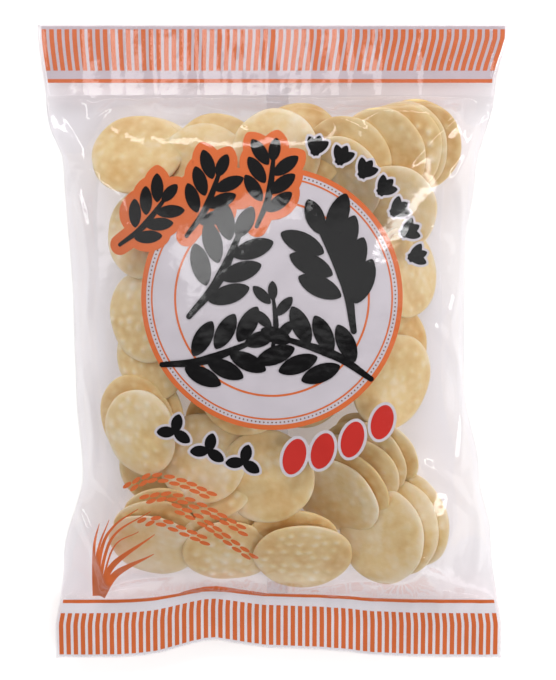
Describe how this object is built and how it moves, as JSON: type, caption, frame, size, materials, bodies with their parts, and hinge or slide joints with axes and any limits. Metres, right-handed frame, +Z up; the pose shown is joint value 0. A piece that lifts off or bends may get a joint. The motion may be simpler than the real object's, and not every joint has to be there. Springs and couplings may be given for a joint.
{
  "type": "bag of rice crackers",
  "caption": "Clear pillow bag, heat sealed at both ends and filled with round puffed rice crackers, lying face up.",
  "frame": {"origin": "under the middle of the bag, at the level of the surface it lies on", "axes": "+Y towards the bag's top seal, +Z up out of the printed front, +X to the right seen from above with the top seal away"},
  "size_m": [0.261, 0.356, 0.0492],
  "materials": {
    "film": "clear gloss film",
    "print": "ink under gloss film",
    "cracker": "dry baked rice dough, matte"
  },
  "bodies": {
    "root": {"cracker_bag": "film"}
  },
  "joints": []
}
